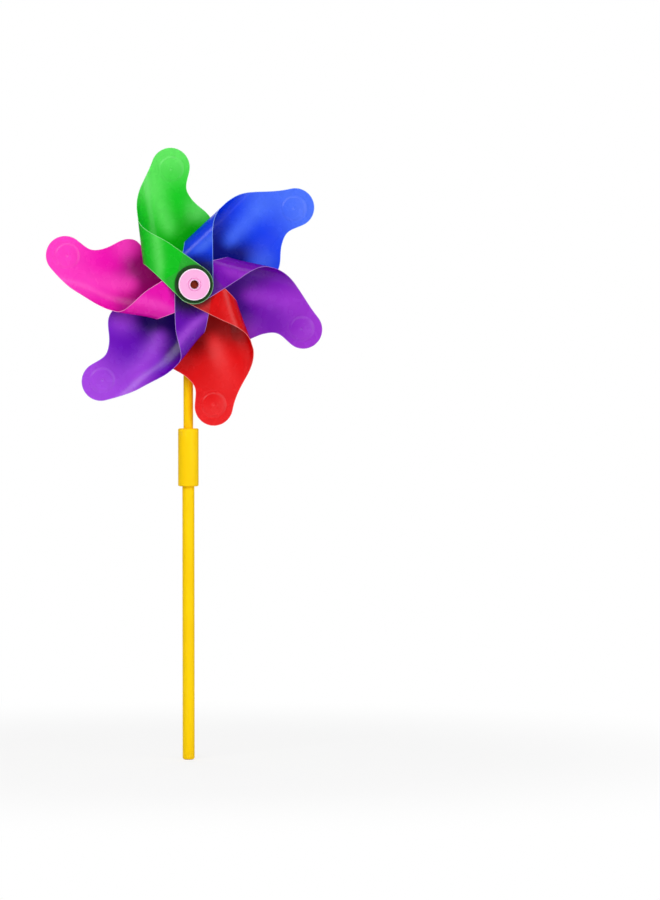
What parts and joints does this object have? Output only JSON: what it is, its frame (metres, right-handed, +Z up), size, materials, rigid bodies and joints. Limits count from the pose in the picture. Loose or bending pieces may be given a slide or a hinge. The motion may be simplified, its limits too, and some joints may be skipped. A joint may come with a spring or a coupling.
{
  "type": "whirligig",
  "caption": "Hand-held wind spinner: bent plastic blades looped round a capped hub that spins on an axle at the top of a two-part plastic pole.",
  "frame": {"origin": "centre of the lower pole's foot, on the pole's axis", "axes": "+Z up along the pole, -Y towards the front of the wheel, +X to the right as seen from the front"},
  "size_m": [0.2302, 0.0472, 0.5066],
  "materials": {
    "yellow_tube": "smooth extruded tube, soft gloss",
    "yellow_moulding": "moulded, soft gloss",
    "deep_yellow_tube": "smooth extruded tube, soft gloss",
    "orange_axle": "moulded",
    "spring_steel": "bright stamped",
    "white_plastic": "moulded",
    "pink_plastic": "moulded, soft gloss",
    "green_sheet": "glossy translucent sheet",
    "blue_sheet": "glossy translucent sheet",
    "purple_sheet": "glossy translucent sheet",
    "red_sheet": "glossy translucent sheet",
    "violet_sheet": "glossy translucent sheet",
    "magenta_sheet": "glossy translucent sheet"
  },
  "bodies": {
    "stick": {"lower_pole": "yellow_tube", "pole_coupler": "yellow_moulding"},
    "head": {"upper_pole": "deep_yellow_tube", "pole_head": "yellow_moulding", "axle": "orange_axle", "retaining_clip": "spring_steel", "rear_bush": "white_plastic"},
    "wheel": {"rear_flange": "pink_plastic", "hub_spool": "white_plastic", "front_cap": "pink_plastic", "blade_green": "green_sheet", "blade_blue": "blue_sheet", "blade_purple": "purple_sheet", "blade_red": "red_sheet", "blade_violet": "violet_sheet", "blade_magenta": "magenta_sheet"}
  },
  "joints": [
    {"name": "pole_pull", "type": "slide", "parent": "stick", "child": "head", "axis": [0, 0, 1], "range_m": [0, 0.021]},
    {"name": "wheel_spin", "type": "hinge", "parent": "head", "child": "wheel", "pos_m": [0, -0.023, 0.394], "axis": [0, -1, 0], "continuous": true}
  ]
}
